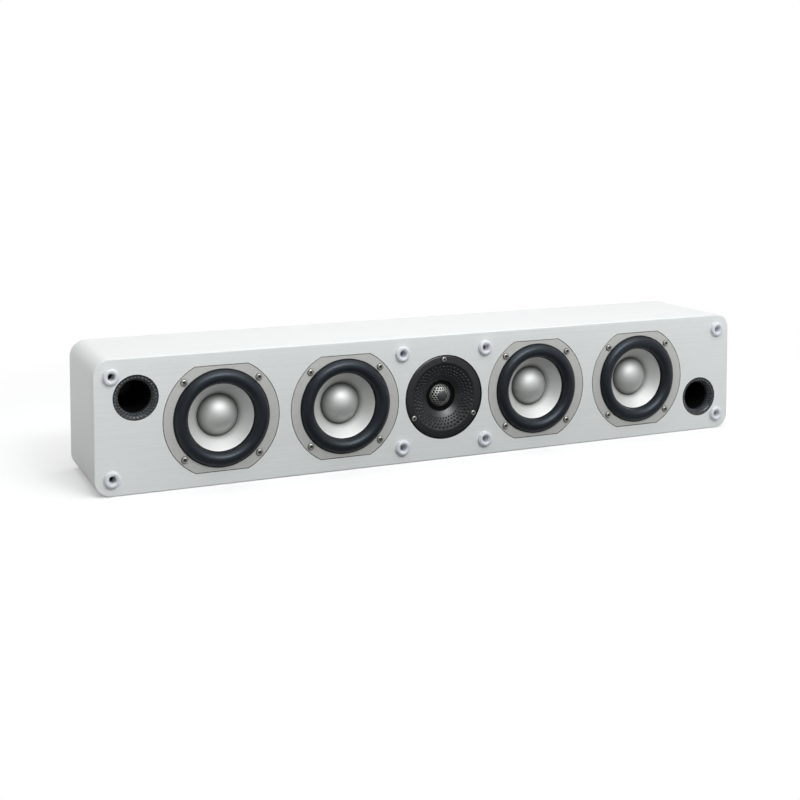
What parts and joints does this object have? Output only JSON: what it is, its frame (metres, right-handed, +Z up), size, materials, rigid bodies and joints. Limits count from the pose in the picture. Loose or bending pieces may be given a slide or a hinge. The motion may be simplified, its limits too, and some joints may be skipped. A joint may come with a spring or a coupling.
{
  "type": "center channel speaker",
  "caption": "Long slim wood cabinet with rounded corners, a row of metal-cone woofers, a centre dome tweeter in a dished faceplate, flared ports and grille sockets.",
  "frame": {"origin": "middle of the flat underside", "axes": "+X along the length, to the right seen from the front; the front faces -Y; +Z up"},
  "size_m": [0.786, 0.139, 0.142],
  "materials": {
    "stained_veneer": "white stained open-grain veneer",
    "fibreboard": "raw fibreboard",
    "basket_steel": "satin plated sheet",
    "surround_rubber": "matte rubber",
    "cone_aluminium": "satin anodised",
    "suspension_cloth": "resin-treated cloth",
    "coil_copper": "lacquered copper wire",
    "motor_steel": "plated steel",
    "ferrite": "matte ferrite",
    "black_plastic": "fine matte",
    "guard_steel": "bright pierced sheet",
    "white_plastic": "smooth",
    "screw_steel": "dull plated",
    "post_brass": "gold plated",
    "red_plastic": "smooth",
    "black_gloss_plastic": "smooth",
    "board_laminate": "laminate"
  },
  "bodies": {
    "cabinet": {"front_baffle": "stained_veneer", "cabinet_wrap": "stained_veneer", "rear_panel": "stained_veneer", "braces": "fibreboard", "woofer_screws": "screw_steel", "tweeter_faceplate": "black_plastic", "tweeter_guard": "guard_steel", "tweeter_suspension": "suspension_cloth", "tweeter_top_plate": "motor_steel", "tweeter_magnet": "ferrite", "tweeter_yoke": "motor_steel", "tweeter_screws": "screw_steel", "port_tube_left": "black_plastic", "port_tube_right": "black_plastic", "grille_sockets": "white_plastic", "terminal_cup": "black_plastic", "terminal_posts": "post_brass", "terminal_screws": "screw_steel", "crossover_board": "board_laminate", "crossover_parts": "coil_copper", "woofer_basket_left_outer": "basket_steel", "woofer_surround_left_outer": "surround_rubber", "spider_left_outer": "suspension_cloth", "top_plate_left_outer": "motor_steel", "magnet_left_outer": "ferrite", "yoke_left_outer": "motor_steel", "woofer_basket_left_inner": "basket_steel", "woofer_surround_left_inner": "surround_rubber", "spider_left_inner": "suspension_cloth", "top_plate_left_inner": "motor_steel", "magnet_left_inner": "ferrite", "yoke_left_inner": "motor_steel", "woofer_basket_right_inner": "basket_steel", "woofer_surround_right_inner": "surround_rubber", "spider_right_inner": "suspension_cloth", "top_plate_right_inner": "motor_steel", "magnet_right_inner": "ferrite", "yoke_right_inner": "motor_steel", "woofer_basket_right_outer": "basket_steel", "woofer_surround_right_outer": "surround_rubber", "spider_right_outer": "suspension_cloth", "top_plate_right_outer": "motor_steel", "magnet_right_outer": "ferrite", "yoke_right_outer": "motor_steel"},
    "cone_left_outer": {"woofer_cone_left_outer": "cone_aluminium", "dust_cap_left_outer": "cone_aluminium", "voice_coil_left_outer": "coil_copper"},
    "cone_left_inner": {"woofer_cone_left_inner": "cone_aluminium", "dust_cap_left_inner": "cone_aluminium", "voice_coil_left_inner": "coil_copper"},
    "cone_right_inner": {"woofer_cone_right_inner": "cone_aluminium", "dust_cap_right_inner": "cone_aluminium", "voice_coil_right_inner": "coil_copper"},
    "cone_right_outer": {"woofer_cone_right_outer": "cone_aluminium", "dust_cap_right_outer": "cone_aluminium", "voice_coil_right_outer": "coil_copper"},
    "tweeter_diaphragm": {"tweeter_dome": "cone_aluminium", "tweeter_voice_coil": "coil_copper"},
    "knob_positive": {"terminal_knob_positive": "red_plastic"},
    "knob_negative": {"terminal_knob_negative": "black_gloss_plastic"}
  },
  "joints": [
    {"name": "cone_travel_left_outer", "type": "slide", "parent": "cabinet", "child": "cone_left_outer", "axis": [0, -1, 0], "range_m": [-0.004, 0.004], "stiffness_N_per_m": 1200, "deforming": ["woofer_surround_left_outer", "spider_left_outer"]},
    {"name": "cone_travel_left_inner", "type": "slide", "parent": "cabinet", "child": "cone_left_inner", "axis": [0, -1, 0], "range_m": [-0.004, 0.004], "stiffness_N_per_m": 1200, "deforming": ["woofer_surround_left_inner", "spider_left_inner"]},
    {"name": "cone_travel_right_inner", "type": "slide", "parent": "cabinet", "child": "cone_right_inner", "axis": [0, -1, 0], "range_m": [-0.004, 0.004], "stiffness_N_per_m": 1200, "deforming": ["woofer_surround_right_inner", "spider_right_inner"]},
    {"name": "cone_travel_right_outer", "type": "slide", "parent": "cabinet", "child": "cone_right_outer", "axis": [0, -1, 0], "range_m": [-0.004, 0.004], "stiffness_N_per_m": 1200, "deforming": ["woofer_surround_right_outer", "spider_right_outer"]},
    {"name": "dome_travel", "type": "slide", "parent": "cabinet", "child": "tweeter_diaphragm", "axis": [0, -1, 0], "range_m": [-0.0004, 0.0004], "stiffness_N_per_m": 900, "deforming": ["tweeter_suspension"]},
    {"name": "knob_turn_positive", "type": "hinge", "parent": "cabinet", "child": "knob_positive", "pos_m": [-0.0095, 0.0604, 0.071], "axis": [0, 1, 0], "range_deg": [0, 720]},
    {"name": "knob_turn_negative", "type": "hinge", "parent": "cabinet", "child": "knob_negative", "pos_m": [0.0095, 0.0604, 0.071], "axis": [0, 1, 0], "range_deg": [0, 720]}
  ]
}
